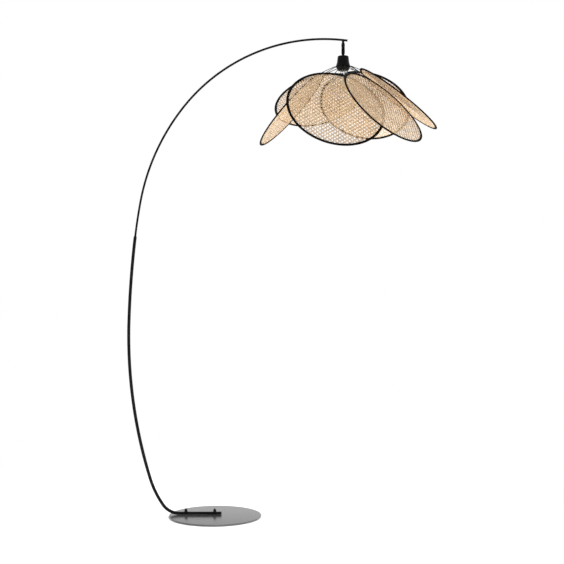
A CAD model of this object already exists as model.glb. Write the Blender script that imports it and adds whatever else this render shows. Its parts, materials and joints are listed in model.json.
"""Rattan floor lamp: fine shapes, surfaces, light and camera round the fixed frame.

Metres, +Z up, origin under the centre of the base plate, +X toward the shade."""

import json
import math

import bmesh
import bpy
import numpy as np
from mathutils import Matrix, Vector


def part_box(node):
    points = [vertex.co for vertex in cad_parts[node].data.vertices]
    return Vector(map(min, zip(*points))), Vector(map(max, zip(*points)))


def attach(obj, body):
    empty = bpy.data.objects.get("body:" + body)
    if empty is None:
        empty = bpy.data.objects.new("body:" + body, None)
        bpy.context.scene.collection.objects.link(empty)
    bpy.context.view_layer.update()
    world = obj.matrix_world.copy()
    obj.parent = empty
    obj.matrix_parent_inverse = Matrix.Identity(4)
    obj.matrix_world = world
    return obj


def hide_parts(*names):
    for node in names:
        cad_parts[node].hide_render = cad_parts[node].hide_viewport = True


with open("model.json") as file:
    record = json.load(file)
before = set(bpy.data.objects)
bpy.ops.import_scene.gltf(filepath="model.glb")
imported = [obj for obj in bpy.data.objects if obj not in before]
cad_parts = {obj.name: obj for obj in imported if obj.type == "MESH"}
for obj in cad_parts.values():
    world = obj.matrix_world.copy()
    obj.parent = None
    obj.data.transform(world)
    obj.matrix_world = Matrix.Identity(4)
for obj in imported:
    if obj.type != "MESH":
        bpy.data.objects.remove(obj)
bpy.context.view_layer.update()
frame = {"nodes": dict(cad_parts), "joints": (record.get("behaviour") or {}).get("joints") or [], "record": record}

MM = 0.001
PETALS = ("front_left", "front_right", "right", "back_right", "back_left", "left")

# Camera: the photograph's eye, level and square to the plane of the pole
FRAME_PX = 564
FOCAL_PX = 1103.6
SENSOR = 36.0
EYE = Vector((0.2542, -4.2, 0.8928))

# Shared by many pieces
SEAT = 0.3 * MM  # gap between a piece and what it rests on, as in the frame
OVERRUN = 1.0 * MM  # how far a cutter runs past the piece that it cuts
DRILL_FIT = 0.15 * MM
FINE_EDGE, EDGE, SOFT_EDGE = 0.3 * MM, 0.5 * MM, 0.6 * MM
ALONG_X = Matrix.Rotation(math.pi / 2, 4, "Y")
ALONG_Y = Matrix.Rotation(-math.pi / 2, 4, "X")
TILT = Vector(next(j["pos_m"] for j in frame["joints"] if j["name"] == "head_tilt"))
UPRIGHT = Matrix.Translation((TILT.x, TILT.y, 0))


# Mesh helpers

SMOOTH_ANGLE = 40  # degrees: gentler edges of turned and swept pieces are shaded smooth
FLUTE_SHARPNESS = 3
NEAR_PARALLEL = 0.9  # dot product above which two directions are too alike to cross


def new_object(name, data):
    """An object of the scene that carries the data."""
    item = bpy.data.objects.new(name, data)
    bpy.context.scene.collection.objects.link(item)
    return item


def add_object(name, vertices, faces, smooth_angle=None):
    """A mesh object from plain lists. smooth_angle in degrees shades gentler edges smooth."""
    mesh = bpy.data.meshes.new(name)
    mesh.from_pydata([tuple(v) for v in vertices], [], [tuple(f) for f in faces])
    mesh.validate()
    piece = new_object(name, mesh)
    if smooth_angle is not None:
        mesh.shade_smooth()
        sharpen(mesh, smooth_angle)
    return piece


def sharpen(mesh, degrees):
    """Shades a mesh smooth, apart from the edges that turn more than the angle."""
    limit = math.radians(degrees)
    work = bmesh.new()
    work.from_mesh(mesh)
    for edge in work.edges:
        if len(edge.link_faces) == 2 and edge.calc_face_angle(0) > limit:
            edge.smooth = False
    for face in work.faces:
        face.smooth = True
    work.to_mesh(mesh)
    work.free()


def place(piece, matrix):
    """Moves a mesh's vertices, so that its object stays at the origin."""
    piece.data.transform(matrix)
    piece.data.update()
    return piece


def face_out(piece):
    """Turns the faces of a closed mesh outward."""
    work = bmesh.new()
    work.from_mesh(piece.data)
    bmesh.ops.recalc_face_normals(work, faces=work.faces)
    if work.calc_volume(signed=True) < 0:
        bmesh.ops.reverse_faces(work, faces=work.faces)
    work.to_mesh(piece.data)
    work.free()
    return piece


def carve(piece, cutter, operation="DIFFERENCE"):
    """Cuts one mesh with another, then deletes the cutter."""
    step = piece.modifiers.new("carve", "BOOLEAN")
    step.operation = operation
    step.solver = "EXACT"
    step.object = cutter
    bpy.context.view_layer.update()
    result = piece.evaluated_get(bpy.context.evaluated_depsgraph_get())
    old = piece.data
    piece.data = bpy.data.meshes.new_from_object(result)
    piece.modifiers.clear()
    bpy.data.meshes.remove(old)
    bpy.data.objects.remove(cutter)


def merged(name, pieces):
    """One object out of several meshes."""
    work = bmesh.new()
    for piece in pieces:
        work.from_mesh(piece.data)
        bpy.data.objects.remove(piece)
    mesh = bpy.data.meshes.new(name)
    work.to_mesh(mesh)
    work.free()
    return new_object(name, mesh)


def lathe(name, outline, around=96, smooth_angle=SMOOTH_ANGLE, flutes=None):
    """Turns an outline of (radius, height) points round Z. An outline off the axis is closed.

    flutes is (count, depth, first, last): scallops on the outline's points first to last."""
    vertices, rows = [], []
    count, depth, first, last = flutes or (0, 0, 0, -1)
    for i, (radius, height) in enumerate(outline):
        if radius == 0:
            rows.append([len(vertices)] * around)
            vertices.append((0, 0, height))
            continue
        rows.append(list(range(len(vertices), len(vertices) + around)))
        for k in range(around):
            angle = 2 * math.pi * k / around
            r = radius
            if first <= i <= last:
                r -= depth * abs(math.sin(count * angle / 2)) ** FLUTE_SHARPNESS
            vertices.append((r * math.cos(angle), r * math.sin(angle), height))
    pairs = list(zip(rows, rows[1:]))
    if outline[0][0] > 0:
        pairs.append((rows[-1], rows[0]))
    faces = []
    for low, high in pairs:
        for k in range(around):
            n = (k + 1) % around
            face = list(dict.fromkeys((low[k], low[n], high[n], high[k])))
            if len(face) > 2:
                faces.append(face)
    return face_out(add_object(name, vertices, faces, smooth_angle))


def frames_along(points):
    """A point, a side and an up direction at each step of a path, turning as little as it can."""
    last = len(points) - 1
    tangents = []
    for i in range(last + 1):
        tangents.append((points[min(i + 1, last)] - points[max(i - 1, 0)]).normalized())
    helper = Vector((0, 1, 0))
    if abs(tangents[0].dot(helper)) > NEAR_PARALLEL:
        helper = Vector((1, 0, 0))
    side = tangents[0].cross(helper).normalized()
    result = []
    for point, tangent in zip(points, tangents):
        side = (side - tangent * side.dot(tangent)).normalized()
        result.append((point, side, tangent.cross(side)))
    return result


def sweep(name, points, loops, sides=32):
    """Skins rings along a path, each given as (step, radius). A first and last ring on the same
    step are joined, as in a hollow tube. Other ends are closed."""
    places = frames_along(points)
    vertices, rings = [], []
    for step, radius in loops:
        point, side, up = places[step]
        rings.append(len(vertices))
        for k in range(sides):
            angle = 2 * math.pi * k / sides
            aside, rise = radius * math.cos(angle), radius * math.sin(angle)
            vertices.append(point + side * aside + up * rise)
    pairs = list(zip(rings, rings[1:]))
    hollow = loops[0][0] == loops[-1][0]
    if hollow:
        pairs.append((rings[-1], rings[0]))
    faces = []
    for a, b in pairs:
        for k in range(sides):
            n = (k + 1) % sides
            faces.append((a + k, a + n, b + n, b + k))
    if not hollow:
        faces.append(tuple(range(rings[0], rings[0] + sides))[::-1])
        faces.append(tuple(range(rings[-1], rings[-1] + sides)))
    return face_out(add_object(name, vertices, faces, SMOOTH_ANGLE))


def pipe(name, points, outer, inner, lip):
    """A hollow tube along a path. Each end's flat face has a ring of vertices a lip's width in
    from its outer edge."""
    last = len(points) - 1
    outside = [(0, outer - lip)] + [(i, outer) for i in range(last + 1)] + [(last, outer - lip)]
    inside = [(i, inner) for i in range(last, -1, -1)]
    return sweep(name, points, outside + inside)


def bar(radius, low, high, around=48):
    """A plain cylinder round Z, to cut with."""
    return lathe("cutter", ring_outline(0, radius, low, high), around)


def slab(name, outline, depth):
    """Extrudes an outline of (x, z) points to both sides of the plane Y = 0."""
    count = len(outline)
    vertices = [(x, -depth / 2, z) for x, z in outline] + [(x, depth / 2, z) for x, z in outline]
    faces = [tuple(range(count)), tuple(range(2 * count - 1, count - 1, -1))]
    for k in range(count):
        n = (k + 1) % count
        faces.append((k, k + count, n + count, n))
    return face_out(add_object(name, vertices, faces))


# Outlines


def ring_outline(inner, outer, low, high):
    """The section of a plain ring, or of a disc where inner is 0."""
    return [(inner, low), (outer, low), (outer, high), (inner, high)]


def arc(radius, centre, start, end, count):
    """Points of an arc round a centre on the axis, from one angle above level to another."""
    angles = np.linspace(start, end, count)
    return [(radius * math.cos(a), centre + radius * math.sin(a)) for a in angles]


def corner_curve(start, corner, end, steps):
    """Points of a quadratic from start to end that is pulled to the corner."""
    shares = [k / steps for k in range(steps + 1)]
    return [start * (1 - t) ** 2 + corner * (2 * t * (1 - t)) + end * t**2 for t in shares]


def rounded(outline, radius, steps=4):
    """Rounds each corner of a closed outline, apart from those on the axis."""
    result, count = [], len(outline)
    for i, point in enumerate(outline):
        if point[0] == 0:
            result.append(point)
            continue
        corner = Vector(point)
        to_before = Vector(outline[i - 1]) - corner
        to_after = Vector(outline[(i + 1) % count]) - corner
        reach = min(radius, to_before.length / 2, to_after.length / 2)
        start = corner + to_before.normalized() * reach
        end = corner + to_after.normalized() * reach
        result += [tuple(p) for p in corner_curve(start, corner, end, steps)]
    return result


def corner_round(points, setbacks, steps=8):
    """Rounds each inner corner of a line of points, from its setback before it to that after."""
    result = [points[0]]
    for before, corner, after, setback in zip(points, points[1:], points[2:], setbacks[1:]):
        start = corner + (before - corner).normalized() * setback
        end = corner + (after - corner).normalized() * setback
        result += corner_curve(start, corner, end, steps)
    result.append(points[-1])
    return result


def bezier(start, first, second, end, steps=12):
    """Points along a cubic, without its start."""
    start, first, second, end = map(Vector, (start, first, second, end))
    points = []
    for k in range(1, steps + 1):
        t = k / steps
        s = 1 - t
        point = start * s**3 + first * (3 * s * s * t) + second * (3 * s * t * t) + end * t**3
        points.append(tuple(point))
    return points


def offset(outline, wall):
    """An outline moved to its own left by the wall."""
    result, last = [], len(outline) - 1
    for i, (r, z) in enumerate(outline):
        ahead, behind = outline[min(i + 1, last)], outline[max(i - 1, 0)]
        along = (Vector(ahead) - Vector(behind)).normalized()
        result.append((r - along.y * wall, z + along.x * wall))
    return result


# Materials

STRAND_TONE = "strand_tone"  # the mesh attribute that sets a cane strand's tone
CANE_DARK = (0.52, 0.325, 0.16)
CANE_MID = (0.725, 0.54, 0.325)
CANE_PALE = (0.87, 0.745, 0.55)
CANE_GLOW = 0.44  # share of the light that passes through a strand
CANE_PALING = 0.6  # how much paler that light is than the strand
WHITE = (1.0, 1.0, 1.0)
NOISE_LOW, NOISE_HIGH = 0.3, 0.7  # between these lies most of a noise texture


class Tree:
    """A small builder for a node tree. A name's _ stands for a space in an input's name."""

    def __init__(self, tree):
        self.tree = tree

    def add(self, kind, **values):
        node = self.tree.nodes.new(kind)
        for key, value in values.items():
            socket = node.inputs.get(key.replace("_", " "))
            if socket is None:
                setattr(node, key, value)
            else:
                socket.default_value = value
        return node

    def link(self, source, target):
        self.tree.links.new(source, target)

    def seen_by(self, other):
        """1 for the camera's rays and for one other kind, and 0 for the rest."""
        path = self.add("ShaderNodeLightPath")
        seen = self.add("ShaderNodeMath", operation="MAXIMUM")
        self.link(path.outputs["Is Camera Ray"], seen.inputs[0])
        self.link(path.outputs[other], seen.inputs[1])
        return seen.outputs[0]


class Nodes(Tree):
    """A new material and its node tree."""

    def __init__(self, name, color, roughness, **inputs):
        self.material = bpy.data.materials.new(name)
        self.material.use_nodes = True
        super().__init__(self.material.node_tree)
        self.shader = self.tree.nodes["Principled BSDF"]
        self.shader.inputs["Base Color"].default_value = (*color, 1)
        self.shader.inputs["Roughness"].default_value = roughness
        for key, value in inputs.items():
            self.shader.inputs[key.replace("_", " ")].default_value = value

    def position(self):
        return self.add("ShaderNodeTexCoord").outputs["Object"]

    def noise(self, scale, detail=3, roughness=0.5):
        node = self.add("ShaderNodeTexNoise", Scale=scale, Detail=detail, Roughness=roughness)
        self.link(self.position(), node.inputs["Vector"])
        return node.outputs["Fac"]

    def ramp(self, source, stops):
        """Maps a value through (place, colour or grey) stops."""
        node = self.add("ShaderNodeValToRGB")
        while len(node.color_ramp.elements) < len(stops):
            node.color_ramp.elements.new(0.5)
        for element, (at, value) in zip(node.color_ramp.elements, stops):
            element.position = at
            element.color = (*value, 1) if isinstance(value, tuple) else (value, value, value, 1)
        self.link(source, node.inputs["Fac"])
        return node.outputs["Color"]

    def spread(self, noise, low, high):
        """Maps a noise to values from low to high."""
        return self.ramp(noise, [(NOISE_LOW, low), (NOISE_HIGH, high)])

    def mix(self, factor, first, second, blend="MIX"):
        node = self.add("ShaderNodeMix", data_type="RGBA", blend_type=blend)
        for i, value in ((0, factor), (6, first), (7, second)):
            if isinstance(value, bpy.types.NodeSocket):
                self.link(value, node.inputs[i])
            else:
                node.inputs[i].default_value = (*value, 1) if isinstance(value, tuple) else value
        return node.outputs[2]

    def mix_shaders(self, share, first, second):
        """Shows the second shader by a share, which is a number or a socket, over the first."""
        both = self.add("ShaderNodeMixShader")
        if isinstance(share, bpy.types.NodeSocket):
            self.link(share, both.inputs[0])
        else:
            both.inputs[0].default_value = share
        self.link(first.outputs[0], both.inputs[1])
        self.link(second.outputs[0], both.inputs[2])
        self.link(both.outputs[0], self.tree.nodes["Material Output"].inputs["Surface"])

    def color(self, source):
        self.link(source, self.shader.inputs["Base Color"])

    def glow(self, source, share):
        """Lets a share of the light through, as a thin fibrous strip does."""
        through = self.add("ShaderNodeBsdfTranslucent")
        self.link(source, through.inputs["Color"])
        self.mix_shaders(share, self.shader, through)

    def rough(self, noise, low, high):
        self.link(self.spread(noise, low, high), self.shader.inputs["Roughness"])

    def bump(self, source, distance):
        node = self.add("ShaderNodeBump", Strength=1.0, Distance=distance)
        self.link(source, node.inputs["Height"])
        self.link(node.outputs["Normal"], self.shader.inputs["Normal"])


def grained(name, color, roughness, colors, grain, cloud=None, rough=None, bump=0, **inputs):
    """A finish of two close colours. Its noises are (scale, detail, roughness): the grain sets
    roughness and height in mm, and the cloud, or else the grain, mixes the colours."""
    n = Nodes(name, color, roughness, **inputs)
    fine = n.noise(*grain)
    n.color(n.mix(n.noise(*cloud) if cloud else fine, *colors))
    if rough:
        n.rough(fine, *rough)
    if bump:
        n.bump(fine, bump * MM)
    return n.material


def plate_black():
    """Satin coat on the base plate, with a few faint scuffs."""
    n = Nodes("plate_black", (0.045, 0.045, 0.046), 0.25, Specular_IOR_Level=0.9)
    speck = n.noise(1900, detail=2)
    cloud = n.noise(9)
    scuff = n.add("ShaderNodeTexVoronoi", Scale=60.0)
    n.link(n.position(), scuff.inputs["Vector"])
    n.color(n.mix(cloud, (0.04, 0.0405, 0.041), (0.052, 0.0525, 0.0525)))
    worn = n.ramp(scuff.outputs["Distance"], [(0.0, 0.32), (0.1, 0.22), (1.0, 0.26)])
    n.link(n.mix(cloud, worn, n.spread(speck, 0.21, 0.28)), n.shader.inputs["Roughness"])
    n.bump(speck, 0.012 * MM)
    return n.material


def cane():
    """Split rattan cane: pale and tan strands, fine fibres, a few darker flecks."""
    n = Nodes("cane", CANE_MID, 0.5, Specular_IOR_Level=0.3)
    strand = n.add("ShaderNodeAttribute", attribute_name=STRAND_TONE)
    tone = n.ramp(strand.outputs["Fac"], [(0.0, CANE_DARK), (0.45, CANE_MID), (1.0, CANE_PALE)])
    patch = n.ramp(n.noise(55, detail=4, roughness=0.6), [(0.3, (0.78, 0.74, 0.68)), (0.62, WHITE)])
    fleck = n.ramp(n.noise(420, detail=4, roughness=0.7), [(0.26, (0.5, 0.4, 0.3)), (0.4, WHITE)])
    fibre = n.noise(2200, roughness=0.6)
    colour = n.mix(1.0, n.mix(1.0, tone, patch, "MULTIPLY"), fleck, "MULTIPLY")
    n.color(colour)
    n.glow(n.mix(CANE_PALING, colour, WHITE), CANE_GLOW)
    n.rough(fibre, 0.4, 0.6)
    n.bump(fibre, 0.08 * MM)
    return n.material


def clear_glass():
    """The bulb's thin clear envelope."""
    n = Nodes("clear_glass", (0.98, 0.985, 0.98), 0.02, Transmission_Weight=1.0, IOR=1.45)
    n.rough(n.noise(25, detail=2), 0.0, 0.03)
    return n.material


FINISH = {
    # Matt powder coat on the tubes and the metal of the lampholder
    "powder_black": grained(
        "powder_black", (0.004, 0.004, 0.004), 0.42,
        ((0.003, 0.003, 0.003), (0.006, 0.0055, 0.0055)),
        grain=(2600, 2), cloud=(30, 2), rough=(0.36, 0.5), bump=0.04, Specular_IOR_Level=0.08,
    ),
    "plate_black": plate_black(),
    "black_plastic": grained(
        "black_plastic", (0.005, 0.005, 0.005), 0.45,
        ((0.004, 0.004, 0.004), (0.008, 0.008, 0.0075)),
        grain=(3500, 2), cloud=(40, 2), rough=(0.38, 0.55), bump=0.03, Specular_IOR_Level=0.12,
    ),
    "felt": grained(
        "felt", (0.03, 0.03, 0.031), 0.95,
        ((0.015, 0.015, 0.016), (0.06, 0.06, 0.062)),
        grain=(1500, 5, 0.7), bump=0.4, Sheen_Weight=0.25,
    ),
    # Bright zinc on the foot screws and the bulb's cap
    "zinc_steel": grained(
        "zinc_steel", (0.62, 0.63, 0.64), 0.28,
        ((0.52, 0.53, 0.54), (0.68, 0.69, 0.69)),
        grain=(700,), cloud=(90, 2), rough=(0.2, 0.36), bump=0.02, Metallic=1.0,
    ),
    "brass": grained(
        "brass", (0.6, 0.43, 0.18), 0.3,
        ((0.5, 0.35, 0.13), (0.68, 0.5, 0.24)),
        grain=(500,), cloud=(120,), rough=(0.24, 0.4), Metallic=1.0,
    ),
    # Black ribbon wound round a wire, with fine threads
    "bound_wire": grained(
        "bound_ribbon", (0.003, 0.0026, 0.0023), 0.65,
        ((0.0015, 0.0013, 0.0012), (0.005, 0.0042, 0.0036)),
        grain=(1800, 4, 0.6), cloud=(160,), rough=(0.55, 0.75), bump=0.12, Specular_IOR_Level=0.05,
    ),
    "cane": cane(),
    "bulb_glass": clear_glass(),
    # Yellow phosphor coat on the filament sticks
    "filament": grained(
        "filament", (0.85, 0.55, 0.12), 0.5,
        ((0.78, 0.46, 0.08), (0.92, 0.66, 0.2)), grain=(900,), bump=0.05,
    ),
}
SLOTS = {part["node"]: part["material_slot"] for part in frame["record"]["subparts"]}


def paint(piece, slot):
    piece.data.materials.clear()
    piece.data.materials.append(FINISH[slot])


def dress_nodes():
    """Every node of the frame gets the finish of its slot, shown or not."""
    for name, node in frame["nodes"].items():
        paint(node, SLOTS[name])


def dress(piece, body, node):
    """Puts a piece on its body and in its node's place, with the node's slot and finish."""
    slot = SLOTS[node]
    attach(piece, body)
    paint(piece, slot)
    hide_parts(node)


def fit(piece, body, node, matrix, crease=None):
    """Sets a drawn piece in its place and dresses it. Edges of a cut piece that turn more than
    the crease, in degrees, stay sharp."""
    place(piece, matrix)
    if crease is not None:
        sharpen(piece.data, crease)
    dress(piece, body, node)


def turned(node, body, outline, around, matrix, **shape):
    """A turned piece that needs no cutting, in its place."""
    fit(lathe(f"{node}_fine", outline, around, **shape), body, node, matrix)


# Base

PLATE_EDGE = 1.0 * MM


def make_disc(node, edge, steps, around):
    """A disc of the base, with rounded edges."""
    low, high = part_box(node)
    outline = ring_outline(0, (high.x - low.x) / 2, low.z, high.z)
    disc = lathe(f"{node}_fine", rounded(outline, edge, steps), around)
    dress(disc, "stand", node)


def make_base():
    make_disc("felt_pad", EDGE, steps=4, around=160)
    make_disc("base_plate", PLATE_EDGE, steps=5, around=192)


# Pole: the same bends as the frame's, each (radius in mm, turn in degrees), from the foot up

FOOT_START, FOOT_MIDDLE, HEEL = 20 * MM, -60 * MM, -136.8 * MM
LOWER_RADIUS, LOWER_BORE, LOWER_LIP = 6 * MM, 4.4 * MM, 0.5 * MM
UPPER_RADIUS, UPPER_BORE, UPPER_LIP = 4 * MM, 3 * MM, 0.3 * MM
SOCKET = 45 * MM  # how far the upper tube runs down into the lower one
LOWER_BENDS = ((75, 55.3), (370, 17.6), (1837, 18.9), (3766, 4.9))
UPPER_BENDS = ((2020, 3.8), (820, 28.1), (683, 58.6))
BEND_SAG = 0.02 * MM  # greatest distance from a bend to its facets
HANGER_BACK = 13.8  # mm along the last bend, from the arm's end back to the hanger


def bend_points(point, heading, radius, turn):
    """Points of one bend without its start, and the heading at its end."""
    right = Vector((math.sin(heading), 0, -math.cos(heading)))
    centre = point + right * radius
    steps = max(2, math.ceil(turn / (2 * math.acos(1 - BEND_SAG / radius))))
    result = []
    for k in range(1, steps + 1):
        now = heading - turn * k / steps
        result.append(centre - Vector((math.sin(now), 0, -math.cos(now))) * radius)
    return result, heading - turn


def make_pole(foot_height):
    """Both tubes. Gives the arm's end and the heading there."""
    lower = [Vector((x, 0, foot_height)) for x in (FOOT_START, FOOT_MIDDLE, HEEL)]
    heading = math.pi
    upper = []
    for i, (radius, degrees) in enumerate(LOWER_BENDS):
        radius, turn = radius * MM, math.radians(degrees)
        last_turn = SOCKET / radius if i == len(LOWER_BENDS) - 1 else 0
        points, heading = bend_points(lower[-1], heading, radius, turn - last_turn)
        lower += points
        if last_turn:
            upper = [points[-1]]
            points, heading = bend_points(points[-1], heading, radius, last_turn)
            lower += points
            upper += points
    for radius, degrees in UPPER_BENDS:
        points, heading = bend_points(upper[-1], heading, radius * MM, math.radians(degrees))
        upper += points
    tube = pipe("lower_tube_fine", lower, LOWER_RADIUS, LOWER_BORE, LOWER_LIP)
    dress(tube, "stand", "lower_tube")
    tube = pipe("upper_tube_fine", upper, UPPER_RADIUS, UPPER_BORE, UPPER_LIP)
    dress(tube, "stand", "upper_tube")
    return upper[-1], heading


# End plugs and cord gland

PLUG_DEPTH, PLUG_EDGE = 10 * MM, 0.9 * MM
FOOT_FLANGE = 4 * MM
CAP_RADIUS, CAP_FLANGE = 4.6 * MM, 3 * MM
GLAND_BORE, GLAND_SPIGOT, GLAND_FLANGE = 2.5 * MM, 3.1 * MM, 4.6 * MM
GLAND_SHOULDER = 6.3 * MM


def end_plug(node, radius, flange, bore, matrix):
    """A tube's end plug, drawn with the tube below it."""
    spigot = bore - SEAT
    outline = [(0, -PLUG_DEPTH), (spigot, -PLUG_DEPTH), (spigot, SEAT)]
    outline += [(radius, SEAT), (radius, flange), (0, flange)]
    turned(node, "stand", rounded(outline, PLUG_EDGE), 48, matrix)


def make_end_pieces(arm_end, heading, foot_height):
    foot = Matrix.Translation((FOOT_START, 0, foot_height)) @ ALONG_X
    end_plug("foot_plug", LOWER_RADIUS, FOOT_FLANGE, LOWER_BORE, foot)
    tip = Matrix.Translation(arm_end) @ Matrix.Rotation(math.pi / 2 - heading, 4, "Y")
    end_plug("arm_cap", CAP_RADIUS, CAP_FLANGE, UPPER_BORE, tip)

    low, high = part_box("cord_gland")
    outline = [(GLAND_BORE, low.y), (GLAND_SPIGOT, low.y), (GLAND_SPIGOT, GLAND_SHOULDER)]
    outline += [(GLAND_FLANGE, GLAND_SHOULDER), (GLAND_FLANGE, high.y), (GLAND_BORE, high.y)]
    middle = (low + high) / 2
    across = Matrix.Translation((middle.x, 0, middle.z)) @ ALONG_Y
    turned("cord_gland", "stand", rounded(outline, SOFT_EDGE), 48, across)


# Foot fasteners

NUT_ACROSS, NUT_HEX, NUT_DOME = 10 * MM, 5.2 * MM, 4.7 * MM
NUT_CHAMFER, NUT_CHAMFER_RISE = 0.7 * MM, 0.5 * MM
WASHER_BORE, WASHER_RADIUS = 3.4 * MM, 6.25 * MM
SADDLE_CUT = 10 * MM


def make_dome_nut(end):
    """A hexagon cut from a turned blank under its dome. Gives its place along the foot."""
    low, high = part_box(f"dome_nut_{end}")
    x = (low.x + high.x) / 2
    corner = NUT_ACROSS / math.sqrt(3)
    hex_top = low.z + NUT_HEX
    dome = arc(NUT_DOME, high.z - NUT_DOME, 0, math.pi / 2, 14)
    dome[-1] = (0, high.z)
    outline = [(0, low.z), (corner - NUT_CHAMFER, low.z), (corner, low.z + NUT_CHAMFER_RISE)]
    outline += [(corner, hex_top - NUT_CHAMFER), (NUT_DOME, hex_top)] + dome
    nut = lathe(f"dome_nut_{end}_fine", outline, 72, 30)
    carve(nut, bar(corner, low.z - OVERRUN, high.z + OVERRUN, around=6), "INTERSECT")
    fit(nut, "stand", f"dome_nut_{end}", Matrix.Translation((x, 0, 0)), crease=30)
    return x


def make_saddle_washer(end, x, foot_height):
    """A ring whose underside is hollowed to the tube."""
    low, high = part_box(f"saddle_washer_{end}")
    outline = ring_outline(WASHER_BORE, WASHER_RADIUS, low.z, high.z)
    washer = lathe(f"saddle_washer_{end}_fine", rounded(outline, FINE_EDGE, 3), 72)
    tube = bar(LOWER_RADIUS + SEAT, -SADDLE_CUT, SADDLE_CUT, around=96)
    place(tube, Matrix.Translation((0, 0, foot_height)) @ ALONG_X)
    carve(washer, tube)
    where = Matrix.Translation((x, 0, 0))
    fit(washer, "stand", f"saddle_washer_{end}", where, crease=35)


# Hanger and knuckle. The knuckle is drawn about the tilt axis.

KNUCKLE_RADIUS, NECK_RADIUS, EYE_RADIUS = 6.6 * MM, 4.8 * MM, 6.3 * MM
KNUCKLE_REACH, KNUCKLE_TAPER = 23.5 * MM, 6 * MM
SLOT_WIDTH, TONGUE_WIDTH = 5.6 * MM, 5 * MM
TONGUE_LOW, TONGUE_HIGH, TONGUE_SUNK = 12 * MM, 8 * MM, 2 * MM
PIN_RADIUS, PIN_FIT = 2 * MM, 0.25 * MM
HEAD_RADIUS, HEAD_DEPTH, HEAD_BEVEL = 3.4 * MM, 1.8 * MM, 0.4 * MM
KEY_RADIUS, KEY_DEPTH = 1.5 * MM, 1.2 * MM
STUD_RADIUS, STUD_LENGTH = 3 * MM, 7 * MM
FORK_GROOVE, TONGUE_GROOVE = 7.6 * MM, 9.0 * MM  # distance of each groove from the tilt axis
GROOVE_DEPTH, GROOVE_BEVEL, GROOVE_FLOOR = 0.35 * MM, 0.4 * MM, 0.6 * MM
KNURL_STEPS = 6
KNURL = (30, 0.28 * MM, 5, 6)  # from the groove's end to the start of the taper
KNUCKLE_CUT = 9 * MM  # half the length of what cuts the knuckle
KNUCKLE_SOCKET = 10.3 * MM
NIPPLE_RADIUS, NIPPLE_BORE = 4 * MM, 2.6 * MM
BOSS_HEIGHT, BOSS_BORE, BOSS_CUT = 9.5 * MM, 3.4 * MM, 12 * MM


def make_hanger(heading):
    """The short tube under the arm, notched to the arm's underside."""
    low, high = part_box("hanger_boss")
    top = low.z + BOSS_HEIGHT
    outline = ring_outline(BOSS_BORE, NECK_RADIUS, low.z, top)
    boss = lathe("hanger_boss_fine", rounded(outline, FINE_EDGE, 3), 64)
    arm = bar(UPPER_RADIUS + DRILL_FIT, -BOSS_CUT, BOSS_CUT, around=64)
    turn = Matrix.Rotation(math.pi / 2 - heading, 4, "Y")
    place(arm, Matrix.Translation((0, 0, top)) @ turn)
    carve(boss, arm)
    fit(boss, "stand", "hanger_boss", Matrix.Translation((TILT.x, 0, 0)), crease=35)


def groove(start, side):
    """A turned groove's outline, upward for side 1 and downward for side -1."""
    first = side * (start + GROOVE_BEVEL)
    second = side * (start + GROOVE_BEVEL + GROOVE_FLOOR)
    end = side * (start + 2 * GROOVE_BEVEL + GROOVE_FLOOR)
    floor = KNUCKLE_RADIUS - GROOVE_DEPTH
    return [(KNUCKLE_RADIUS, side * start), (floor, first), (floor, second), (KNUCKLE_RADIUS, end)]


def knurled(name, outline):
    """A lathe with a fine straight knurl between the groove and the taper of its outline."""
    return lathe(name, outline, KNURL[0] * KNURL_STEPS, 50, KNURL)


def eye_slab(half_width, end, depth):
    """A bar that ends in a round eye on the tilt axis."""
    side = 1 if end > 0 else -1
    eye = [
        (side * half_width * math.cos(a), -side * half_width * math.sin(a))
        for a in np.linspace(0, math.pi, 33)
    ]
    return slab("cutter", eye + [(-side * half_width, end), (side * half_width, end)], depth)


def cross_bar(radius, low, high):
    """A cylinder along the tilt axis, to cut with."""
    return place(bar(radius, low, high), ALONG_Y)


def make_fork():
    wide, top = KNUCKLE_RADIUS, KNUCKLE_REACH - SEAT
    tip = top + STUD_LENGTH
    outline = [(0, -wide), (wide, -wide), *groove(FORK_GROOVE, 1), (wide, top - KNUCKLE_TAPER)]
    outline += [(NECK_RADIUS, top), (STUD_RADIUS, top), (STUD_RADIUS, tip), (0, tip)]
    fork = knurled("knuckle_upper_fine", outline)
    carve(fork, eye_slab(wide, top + KNUCKLE_CUT, 2 * wide), "INTERSECT")
    slot = ring_outline(-KNUCKLE_CUT, KNUCKLE_CUT, -KNUCKLE_CUT, EYE_RADIUS + SEAT)
    carve(fork, slab("cutter", slot, SLOT_WIDTH))
    carve(fork, cross_bar(PIN_RADIUS + PIN_FIT, -KNUCKLE_CUT, KNUCKLE_CUT))
    pocket = wide - HEAD_DEPTH
    carve(fork, cross_bar(HEAD_RADIUS + PIN_FIT, pocket, KNUCKLE_CUT))
    carve(fork, cross_bar(HEAD_RADIUS + PIN_FIT, -KNUCKLE_CUT, -pocket))
    fit(fork, "swivel", "knuckle_upper", Matrix.Translation(TILT), crease=30)


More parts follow.
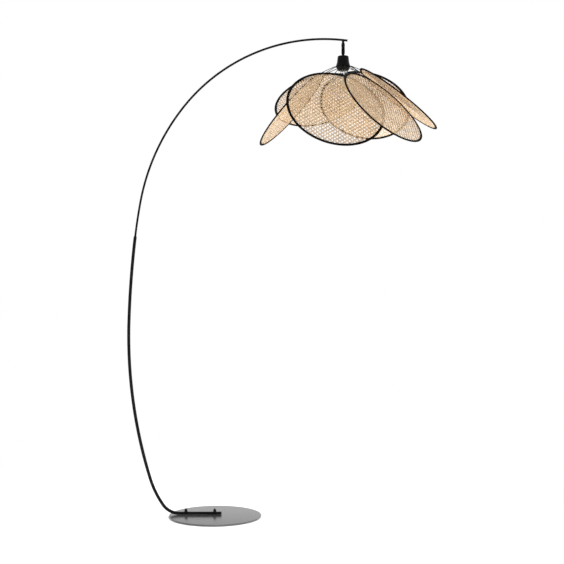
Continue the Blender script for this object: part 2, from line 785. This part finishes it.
def make_tongue():
    wide, foot = KNUCKLE_RADIUS, -KNUCKLE_REACH
    shoulder = -wide - SEAT
    outline = [(0, shoulder), (wide, shoulder), *groove(TONGUE_GROOVE, -1)]
    outline += [(wide, foot + KNUCKLE_TAPER), (NECK_RADIUS, foot), (0, foot)]
    barrel = knurled("knuckle_lower_fine", outline)
    tongue = eye_slab(EYE_RADIUS, shoulder - TONGUE_SUNK, TONGUE_WIDTH)
    carve(tongue, bar(wide, -TONGUE_LOW, TONGUE_HIGH, around=96), "INTERSECT")
    carve(barrel, tongue, "UNION")
    carve(barrel, bar(NIPPLE_RADIUS + SEAT, foot - 2 * OVERRUN, foot + KNUCKLE_SOCKET))
    carve(barrel, cross_bar(PIN_RADIUS + PIN_FIT, -KNUCKLE_CUT, KNUCKLE_CUT))
    fit(barrel, "head", "knuckle_lower", Matrix.Translation(TILT), crease=30)


def make_knuckle_screw():
    """The screw across the knuckle, with its head in one cheek, and the nut in the other."""
    wide = KNUCKLE_RADIUS
    seat = wide - HEAD_DEPTH + SEAT
    head = [(HEAD_RADIUS, wide - HEAD_BEVEL), (HEAD_RADIUS - HEAD_BEVEL, wide), (0, wide)]
    shank = [(0, -seat + SEAT), (PIN_RADIUS, -seat + SEAT), (PIN_RADIUS, seat)]
    screw = lathe("knuckle_screw_fine", shank + [(HEAD_RADIUS, seat)] + head, 48)
    carve(screw, bar(KEY_RADIUS, wide - KEY_DEPTH, wide + OVERRUN, around=6))
    toward = Matrix.Translation(TILT) @ Matrix.Rotation(math.pi / 2, 4, "X")
    fit(screw, "swivel", "knuckle_screw", toward, crease=35)
    nut = lathe("knuckle_nut_fine", [(0, seat), (HEAD_RADIUS, seat)] + head, around=6)
    away = Matrix.Translation(TILT) @ ALONG_Y
    fit(nut, "swivel", "knuckle_nut", away, crease=20)


# Lampholder, all round the vertical axis under the tilt axis

# The bell's outline is (radius, distance below its top), and at its mouth (radius, height above
# its lip). Each pull is a curve's handle.
BELL_WALL, BELL_BORE, BELL_CROWN = 1.2 * MM, 4.3 * MM, 10.5 * MM
SHOULDER_PULLS = ((18.6 * MM, 0), (20.9 * MM, 1.4 * MM))
BELL_SHOULDER, BELL_WAIST = (21.2 * MM, 7.5 * MM), (22.2 * MM, 17 * MM)
WAIST_PULL, MOUTH_PULL = (23.0 * MM, 24 * MM), (23.6 * MM, 9 * MM)
BELL_MOUTH = (27.4 * MM, 0.4 * MM)
LIP_OUTER, LIP_INNER = 0.3 * MM, 0.2 * MM
HOLDER_RADIUS, HOLDER_WALL = 17.5 * MM, 2.7 * MM
COLLAR_RADIUS, COLLAR_HEIGHT, HOLDER_FLOOR = 8 * MM, 9 * MM, 9 * MM
UPPER_RING = 21.5 * MM
# The lower ring's (radius, distance below its top), then (radius, height above its foot)
RING_RIM = ((24.4 * MM, 0), (25.0 * MM, 0.8 * MM), (24.7 * MM, 2.2 * MM))
RING_FOOT = ((21.0 * MM, 0.7 * MM), (20.5 * MM, 0))
RING_GRIPS = (18, 0.9 * MM, 2, 4)  # flutes


def make_bell():
    low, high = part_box("holder_bell")

    def below(point):
        return point[0], high.z - point[1]

    def above(point):
        return point[0], low.z + point[1]

    outer = [(BELL_BORE, high.z), (BELL_CROWN, high.z)]
    outer += bezier(outer[-1], *map(below, SHOULDER_PULLS), below(BELL_SHOULDER))
    outer.append(below(BELL_WAIST))
    outer += bezier(outer[-1], below(WAIST_PULL), above(MOUTH_PULL), above(BELL_MOUTH))
    inner = offset(outer, -BELL_WALL)
    inner[0] = (BELL_BORE, high.z - BELL_WALL)
    lip = [(BELL_MOUTH[0] - LIP_OUTER, low.z), (inner[-1][0] + LIP_INNER, low.z)]
    turned("holder_bell", "head", outer + lip + inner[::-1], 128, UPRIGHT, smooth_angle=35)


def make_ring(node, inner, outer, edge, around):
    """A plain ring of the lampholder, with rounded edges."""
    low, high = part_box(node)
    outline = ring_outline(inner, outer, low.z, high.z)
    turned(node, "head", rounded(outline, edge, 3), around, UPRIGHT)


def make_holder():
    low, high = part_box("holder_body")
    shoulder = high.z - COLLAR_HEIGHT
    floor = shoulder - HOLDER_FLOOR
    inner = HOLDER_RADIUS - HOLDER_WALL
    outline = [(BELL_BORE, high.z), (COLLAR_RADIUS, high.z), (COLLAR_RADIUS, shoulder)]
    outline += [(HOLDER_RADIUS, shoulder), (HOLDER_RADIUS, low.z)]
    outline += [(inner, low.z), (inner, floor), (BELL_BORE, floor)]
    turned("holder_body", "head", rounded(outline, SOFT_EDGE, 3), 96, UPRIGHT)

    bore = HOLDER_RADIUS + SEAT
    make_ring("shade_ring_upper", bore, UPPER_RING, SOFT_EDGE, around=96)
    low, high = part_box("shade_ring_lower")
    outside = [(r, high.z - drop) for r, drop in RING_RIM]
    outside += [(r, low.z + rise) for r, rise in RING_FOOT]
    outline = [(bore, high.z)] + outside + [(bore, low.z)]
    turned("shade_ring_lower", "head", outline, 216, UPRIGHT, flutes=RING_GRIPS)
    make_ring("holder_nipple", NIPPLE_BORE, NIPPLE_RADIUS, FINE_EDGE, around=48)


# Bulb. A drop is measured down from what is above, and each pull and rise sets a curve's handle.

GLOBE_RADIUS, GLASS_WALL = 47.5 * MM, 1.0 * MM
FLARE_TURN, FLARE_PULL = math.radians(50), 7 * MM
GLASS_NECK, NECK_PULL, NECK_RISE = 18 * MM, 8 * MM, 2 * MM
THROAT_RADIUS, THROAT_PULL = 13.8 * MM, (15 * MM, 1.0 * MM)
SEAL_RADIUS, SEAL_DROP = 12.3 * MM, 9.3 * MM
CAP_LAP, THROAT_DROP, NECK_DROP = 9 * MM, 5.6 * MM, 4 * MM
STICKS, STICK_RADIUS, STRUT_RADIUS = 4, 0.9 * MM, 0.4 * MM
STICK_TOP, STICK_DROP, STICK_INSET = 4 * MM, 0.7 * MM, 1.2 * MM
BUTTON_RADIUS, BUTTON_HEIGHT = 4.9 * MM, 1.4 * MM


def make_glass():
    low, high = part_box("bulb_glass")
    globe = arc(GLOBE_RADIUS, low.z + GLOBE_RADIUS, -math.pi / 2, FLARE_TURN, 48)
    globe[0] = (0, low.z)
    throat = high.z - CAP_LAP - THROAT_DROP
    neck_top = throat - NECK_DROP
    flare = (globe[-1][0] - FLARE_PULL * math.tan(FLARE_TURN), globe[-1][1] + FLARE_PULL)
    neck = (GLASS_NECK, neck_top)
    outer = globe + bezier(globe[-1], flare, (GLASS_NECK, neck_top - NECK_PULL), neck, 14)
    rise = (GLASS_NECK, neck_top + NECK_RISE)
    pull = (THROAT_PULL[0], throat - THROAT_PULL[1])
    outer += bezier(neck, rise, pull, (THROAT_RADIUS, throat), 6)
    outer += [(SEAL_RADIUS, high.z - SEAL_DROP), (SEAL_RADIUS, high.z)]
    inner = offset(outer, GLASS_WALL)
    inner[0] = (0, inner[0][1])
    inner[-1] = (inner[-1][0], high.z)
    turned("bulb_glass", "head", outer + inner[::-1], 96, UPRIGHT, smooth_angle=60)


def make_filaments():
    """Sticks that lean out from a button, each with a thin strut back to the middle."""
    low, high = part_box("bulb_filaments")
    foot = Vector((0, 0, low.z + STICK_RADIUS))
    spread = (high.x - low.x) / 2 - STICK_INSET
    sticks = []
    for k in range(STICKS):
        turn = Matrix.Rotation(2 * math.pi / STICKS * k, 4, "Z")
        start = turn @ Vector((STICK_TOP, 0, high.z - STICK_DROP))
        end = turn @ Vector((spread, 0, foot.z))
        for first, radius in ((start, STICK_RADIUS), (foot, STRUT_RADIUS)):
            points = [first, (first + end) / 2, end]
            sticks.append(sweep("stick", points, [(i, radius) for i in range(len(points))]))
    button = ring_outline(0, BUTTON_RADIUS, high.z - BUTTON_HEIGHT, high.z)
    sticks.append(lathe("stick", rounded(button, FINE_EDGE), 32))
    fit(merged("bulb_filaments_fine", sticks), "head", "bulb_filaments", UPRIGHT)


# Petals. Each rim and panel is drawn flat and set by its panel's place in the frame.

RIM_RADIUS = 178 * MM
RIM_WIDE, RIM_HIGH = 4.9 * MM, 2.7 * MM  # half the rim's section
RIM_SIDES, WRAP_STEPS = 14, 4
WRAP = 5.5 * MM  # ribbon's advance with each turn
WRAP_STEP = 0.28 * MM  # how far a turn stands over the one before it

WIRE_RADIUS, WIRE_GAP = 1.25 * MM, 0.1 * MM
CROWN_TURN, LEG_TURN, CROWN_STEPS = math.radians(9), math.radians(9), 9
WIRE_LEAD, WIRE_BEND, CROWN_BEND = 5 * MM, 7 * MM, 2 * MM
WIRE_SUNK = 4.7 * MM  # how far a wire's ends run into the hub
HUB_RADIUS = 27.5 * MM
HOLE_START, HOLE_END = 22.5 * MM, 30 * MM

PANEL_RADIUS, PANEL_MARGIN, END_MARGIN = 176 * MM, 2 * MM, 0.4 * MM
PITCH, PAIR_GAP, DIVE = 12.7 * MM, 2.6 * MM, 2.7 * MM
STRAND_WIDE, DIAGONAL_WIDE, STRAND_THICK = 1.68 * MM, 1.82 * MM, 0.5 * MM
WEAVE_LIFT, DIAGONAL_LIFT = 0.27 * MM, 0.52 * MM
CROWN_SHARE = 0.62  # a strand's upper face, as a share of its lower one
WEAVE_SEED = 11
TONE_MIDDLE, TONE_SPREAD = 0.5, 0.22
WIDTH_LOW, WIDTH_HIGH = 0.93, 1.05
DRIFT = 0.1  # mm that a strand may lie aside of its place
SWAY, SWAY_LENGTH = 0.1 * MM, 60 * MM
WEAVE_TURN = dict(zip(PETALS, (34, 54, 50, 46, 38, 40)))  # of the weave, in degrees
# How much shorter, and how far outward, a rim that isn't quite round is at its low end
LOW_END_BEND = {"front_right": (8.4 * MM, 2 * MM)}
BEND_START = 30 * MM


def petal_matrix(name):
    """Where a petal hangs: its panel's middle, with local X uphill and local Z out of the panel."""
    points = np.array([v.co for v in frame["nodes"][f"petal_cane_{name}"].data.vertices])
    low, high = points.min(0), points.max(0)
    centre = Vector((low + high) / 2)
    normal = Vector(np.linalg.svd(points - points.mean(0))[2][2])
    if normal.z < 0:
        normal.negate()
    uphill = (Vector((0, 0, 1)) - normal * normal.z).normalized()
    side = normal.cross(uphill)
    turn = Matrix((uphill, side, normal)).transposed().to_4x4()
    return Matrix.Translation(centre) @ turn


def strand(vertices, faces, tones, line, wide, tone):
    """Adds one flat strand along (place, height, direction across it) steps."""
    start = len(vertices)
    half = STRAND_THICK / 2
    low, high = wide / 2, CROWN_SHARE * wide / 2
    for (x, y), z, (nx, ny) in line:
        for across, up in ((-low, -half), (low, -half), (high, half), (-high, half)):
            vertices.append((x + nx * across, y + ny * across, z + up))
            tones.append(tone)
    rings = len(line)
    for i in range(rings - 1):
        a, b = start + 4 * i, start + 4 * i + 4
        for k in range(4):
            n = (k + 1) % 4
            faces.append((a + k, a + n, b + n, b + k))
    faces.append((start + 3, start + 2, start + 1, start))
    end = start + 4 * (rings - 1)
    faces.append((end, end + 1, end + 2, end + 3))


def stations(low, high, pattern, period):
    """Places of a repeating pattern between two ends, with both ends."""
    result = [(low, 0.0)]
    for turn in range(math.floor(low / period) - 1, math.ceil(high / period) + 2):
        for at, height in pattern:
            s = turn * period + at
            if low + END_MARGIN < s < high - END_MARGIN:
                result.append((s, height))
    result.append((high, 0.0))
    return sorted(result)


def weave_mesh():
    """Six-way cane webbing in a disc: upright and level pairs woven over and under each other,
    and two sets of single diagonals that pass between them."""
    rng = np.random.default_rng(WEAVE_SEED)
    vertices, faces, tones = [], [], []

    def lay(origin, along, pattern, lift, period, wide):
        """Lays one strand across the disc. The pattern gives its place and side at each step."""
        origin, along = np.array(origin), np.array(along)
        middle = -origin.dot(along)
        aside = np.hypot(*(origin + along * middle))
        if aside > PANEL_RADIUS - PANEL_MARGIN:
            return
        reach = math.sqrt(PANEL_RADIUS**2 - aside**2)
        across = np.array((-along[1], along[0]))
        tone = float(np.clip(rng.normal(TONE_MIDDLE, TONE_SPREAD), 0, 1))
        width = wide * rng.uniform(WIDTH_LOW, WIDTH_HIGH)
        drift, swing = rng.uniform(-DRIFT, DRIFT) * MM, rng.uniform(0, 2 * math.pi)
        heights = [(at, side * lift) for at, side in pattern]
        line = []
        for s, z in stations(middle - reach, middle + reach, heights, period):
            sway = drift + SWAY * math.sin(s / SWAY_LENGTH + swing)
            point = origin + along * s + across * sway
            line.append(((point[0], point[1]), z, (across[0], across[1])))
        strand(vertices, faces, tones, line, width, tone)

    count = int(PANEL_RADIUS / PITCH) + 1
    near = PAIR_GAP / 2
    far = near + DIVE
    over_under = [(-near, 1), (near, -1), (far, 0), (PITCH - far, 0)]
    for i in range(-count, count + 1):
        for which in (-1, 1):
            at = i * PITCH + which * near
            lay((at, 0), (0, 1), over_under, WEAVE_LIFT * which, PITCH, STRAND_WIDE)
            lay((0, at), (1, 0), over_under, -WEAVE_LIFT * which, PITCH, STRAND_WIDE)

    # A rising diagonal starts on an upright pair, midway between two level pairs, and passes
    # under it. A falling diagonal passes over it there.
    root = math.sqrt(0.5)
    period = PITCH / root
    cross = [(-DIVE, -1), (DIVE, -1), (period / 2 - DIVE, 1), (period / 2 + DIVE, 1)]
    for k in range(-2 * count, 2 * count + 1):
        start = (0, (k + 0.5) * PITCH)
        lay(start, (root, root), cross, DIAGONAL_LIFT, period, DIAGONAL_WIDE)
        lay(start, (root, -root), cross, -DIAGONAL_LIFT, period, DIAGONAL_WIDE)

    mesh = bpy.data.meshes.new("cane_webbing")
    mesh.from_pydata(vertices, [], faces)
    values = mesh.attributes.new(STRAND_TONE, "FLOAT", "POINT")
    values.data.foreach_set("value", np.array(tones, np.float32))
    return mesh


def rim_mesh():
    """A ring bound with ribbon: each turn of the ribbon laps the one before it."""
    steps = round(2 * math.pi * RIM_RADIUS / WRAP) * WRAP_STEPS
    vertices, faces = [], []
    for i in range(steps):
        angle = 2 * math.pi * i / steps
        for k in range(RIM_SIDES):
            round_angle = 2 * math.pi * k / RIM_SIDES
            lap = (i / WRAP_STEPS - round_angle / (2 * math.pi)) % 1.0
            swell = WRAP_STEP * (lap - 0.5)
            radial = RIM_RADIUS + (RIM_WIDE + swell) * math.cos(round_angle)
            height = (RIM_HIGH + swell) * math.sin(round_angle)
            vertices.append((radial * math.cos(angle), radial * math.sin(angle), height))
    for i in range(steps):
        here, there = i * RIM_SIDES, ((i + 1) % steps) * RIM_SIDES
        for k in range(RIM_SIDES):
            n = (k + 1) % RIM_SIDES
            faces.append((here + k, there + k, there + n, here + n))
    mesh = bpy.data.meshes.new("bound_rim")
    mesh.from_pydata(vertices, [], faces)
    mesh.shade_smooth()
    return mesh


def set_flat(label, mesh, degrees, name, matrix):
    """A petal's own copy of a flat mesh: turned in its plane, bent at its low end and set."""
    piece = new_object(label, mesh.copy())
    place(piece, Matrix.Rotation(math.radians(degrees), 4, "Z"))
    if name in LOW_END_BEND:
        shorter, outward = LOW_END_BEND[name]
        for vertex in piece.data.vertices:
            reach = max(0, (-vertex.co.x - BEND_START) / (RIM_RADIUS - BEND_START)) ** 2
            vertex.co.x += shorter * reach
            vertex.co.z += outward * reach
    return place(piece, matrix)


def make_arm(name, matrix, hub):
    """The looped wire from the hub round the rim's near side and back. Gives its legs' bearings."""
    local = matrix.inverted() @ hub
    nearest = math.atan2(local.y, local.x)
    seat = RIM_RADIUS + RIM_WIDE + WIRE_RADIUS + WIRE_GAP

    def crown_at(angle):
        return matrix @ Vector((seat * math.cos(angle), seat * math.sin(angle), 0))

    def hub_at(angle, radius):
        return hub + Vector((math.cos(angle), math.sin(angle), 0)) * radius

    shares = [2 * k / CROWN_STEPS - 1 for k in range(CROWN_STEPS + 1)]
    crown = [crown_at(nearest + CROWN_TURN * share) for share in shares]
    middle = crown_at(nearest) - hub
    bearing = math.atan2(middle.y, middle.x)
    legs = sorted(
        (bearing - LEG_TURN, bearing + LEG_TURN),
        key=lambda angle: (hub_at(angle, HUB_RADIUS) - crown[0]).length,
    )
    inner, outer = HUB_RADIUS - WIRE_SUNK, HUB_RADIUS + WIRE_LEAD
    ends = [[hub_at(angle, inner), hub_at(angle, outer)] for angle in legs]
    turn_in = [0, WIRE_LEAD - SEAT, WIRE_BEND / 2]
    setbacks = turn_in + [CROWN_BEND] * (CROWN_STEPS - 1) + turn_in[::-1]
    route = corner_round(ends[0] + crown + ends[1][::-1], setbacks)
    wire = sweep(f"petal_arm_{name}_bent", route, [(i, WIRE_RADIUS) for i in range(len(route))])
    dress(wire, "head", f"petal_arm_{name}")
    return legs


def make_petals():
    """All six petals. Gives the bearings at which their wires enter the hub."""
    panel_mesh, ring_mesh = weave_mesh(), rim_mesh()
    low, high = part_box("carrier_hub")
    hub = Vector((TILT.x, TILT.y, (low.z + high.z) / 2))
    bearings = []
    for name in PETALS:
        matrix = petal_matrix(name)
        rim = set_flat(f"petal_rim_{name}_bound", ring_mesh, 0, name, matrix)
        dress(rim, "head", f"petal_rim_{name}")
        panel = set_flat(f"petal_cane_{name}_woven", panel_mesh, WEAVE_TURN[name], name, matrix)
        dress(panel, "head", f"petal_cane_{name}")
        bearings += make_arm(name, matrix, hub)
    return bearings


def make_hub(bearings):
    """The ring that carries the petals, drilled for each end of their wires."""
    low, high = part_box("carrier_hub")
    outline = ring_outline(HOLDER_RADIUS + SEAT, HUB_RADIUS, low.z, high.z)
    hub = lathe("carrier_hub_fine", rounded(outline, EDGE, 3), 144)
    middle = Matrix.Translation((0, 0, (low.z + high.z) / 2))
    for bearing in bearings:
        hole = bar(WIRE_RADIUS + DRILL_FIT, HOLE_START, HOLE_END, around=20)
        outward = Matrix.Rotation(bearing, 4, "Z") @ ALONG_X
        carve(hub, place(hole, middle @ outward))
    fit(hub, "head", "carrier_hub", UPRIGHT, crease=30)


# Stage, light and camera

FRONT_AMBIENT, BACK_AMBIENT = 0.42, 1.0
FRONT_SIDE, BACK_SIDE = -0.9, 0.5  # the share of +Y in a direction, between which the world pales
FLOOR_RADIUS, FLOOR_DEPTH = 40.0, 0.02
FLOOR_TONE, FLOOR_ROUGHNESS = (0.93, 0.93, 0.93), 0.9
FADE_START, FADE_END = 0.35, 1.6  # distance from the origin over which the floor turns white
# Each lamp's place, aim, size and power in watts
LAMPS = {
    "key": ((-1.6, -2.6, 3.6), (0.2, 0, 1.0), 2.2, 18),
    "fill": ((3.0, -1.8, 2.4), (0.3, 0, 1.2), 2.0, 18),
    "back": ((1.4, 2.8, 3.0), (0.4, 0, 1.5), 2.4, 100),
    "low_back": ((-1.6, 2.8, 1.2), (0.4, 0, 1.5), 2.2, 70),
    "bounce": ((0.5, -1.0, 0.15), (0.48, 0, 1.5), 1.2, 54),
}


def make_world():
    """A studio that is white behind the lamp and darker on the camera's side. What looks straight
    or through glass at it sees plain white."""
    world = bpy.data.worlds.new("studio")
    bpy.context.scene.world = world
    world.use_nodes = True
    n = Tree(world.node_tree)
    ground = n.tree.nodes["Background"]
    ground.inputs["Color"].default_value = (*WHITE, 1)
    direction = n.add("ShaderNodeTexCoord")
    axes = n.add("ShaderNodeSeparateXYZ")
    n.link(direction.outputs["Generated"], axes.inputs["Vector"])
    side = n.add(
        "ShaderNodeMapRange",
        interpolation_type="SMOOTHSTEP",
        From_Min=FRONT_SIDE,
        From_Max=BACK_SIDE,
        To_Min=FRONT_AMBIENT,
        To_Max=BACK_AMBIENT,
    )
    n.link(axes.outputs["Y"], side.inputs["Value"])
    seen = n.seen_by("Is Transmission Ray")
    strength = n.add("ShaderNodeMix")
    n.link(seen, strength.inputs[0])
    n.link(side.outputs["Result"], strength.inputs[2])
    strength.inputs[3].default_value = 1.0
    n.link(strength.outputs[0], ground.inputs["Strength"])


def make_floor():
    """A pale floor that keeps the lamp's shadow and fades to plain white away from it."""
    floor = lathe("floor", ring_outline(0, FLOOR_RADIUS, -FLOOR_DEPTH, 0))
    n = Nodes("floor", FLOOR_TONE, FLOOR_ROUGHNESS)
    length = n.add("ShaderNodeVectorMath", operation="LENGTH")
    n.link(n.position(), length.inputs[0])
    smooth = {"interpolation_type": "SMOOTHSTEP", "From_Min": FADE_START, "From_Max": FADE_END}
    fade = n.add("ShaderNodeMapRange", **smooth)
    n.link(length.outputs["Value"], fade.inputs["Value"])
    white = n.add("ShaderNodeEmission", Color=(*WHITE, 1), Strength=1.0)
    seen = n.seen_by("Is Glossy Ray")
    amount = n.add("ShaderNodeMath", operation="MULTIPLY")
    n.link(seen, amount.inputs[0])
    n.link(fade.outputs["Result"], amount.inputs[1])
    n.mix_shaders(amount.outputs[0], n.shader, white)
    floor.data.materials.append(n.material)


def make_lamp(name, location, target, size, power):
    """A round soft lamp that lights the object and is itself unseen."""
    data = bpy.data.lights.new(name, "AREA")
    data.shape = "DISK"
    data.size = size
    data.energy = power
    lamp = new_object(name, data)
    lamp.location = location
    lamp.rotation_euler = (Vector(target) - Vector(location)).to_track_quat("-Z", "Y").to_euler()
    lamp.visible_camera = False
    lamp.visible_transmission = False
    lamp.visible_glossy = False


def make_camera():
    data = bpy.data.cameras.new("photo_eye")
    data.sensor_width = SENSOR
    data.lens = FOCAL_PX / FRAME_PX * SENSOR
    camera = new_object("photo_eye", data)
    camera.location = EYE
    camera.rotation_euler = (math.pi / 2, 0, 0)
    bpy.context.scene.camera = camera


def build():
    make_camera()
    dress_nodes()
    make_base()
    foot_height = sum(corner.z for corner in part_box("foot_plug")) / 2
    arm_end, heading = make_pole(foot_height)
    make_end_pieces(arm_end, heading, foot_height)
    for end in ("front", "rear"):
        make_saddle_washer(end, make_dome_nut(end), foot_height)
    make_hanger(heading + HANGER_BACK / UPPER_BENDS[-1][0])
    make_fork()
    make_tongue()
    make_knuckle_screw()
    make_bell()
    make_holder()
    make_glass()
    make_filaments()
    make_hub(make_petals())
    make_world()
    make_floor()
    for name, values in LAMPS.items():
        make_lamp(name, *values)
    bpy.context.scene.view_settings.view_transform = "Standard"


build()
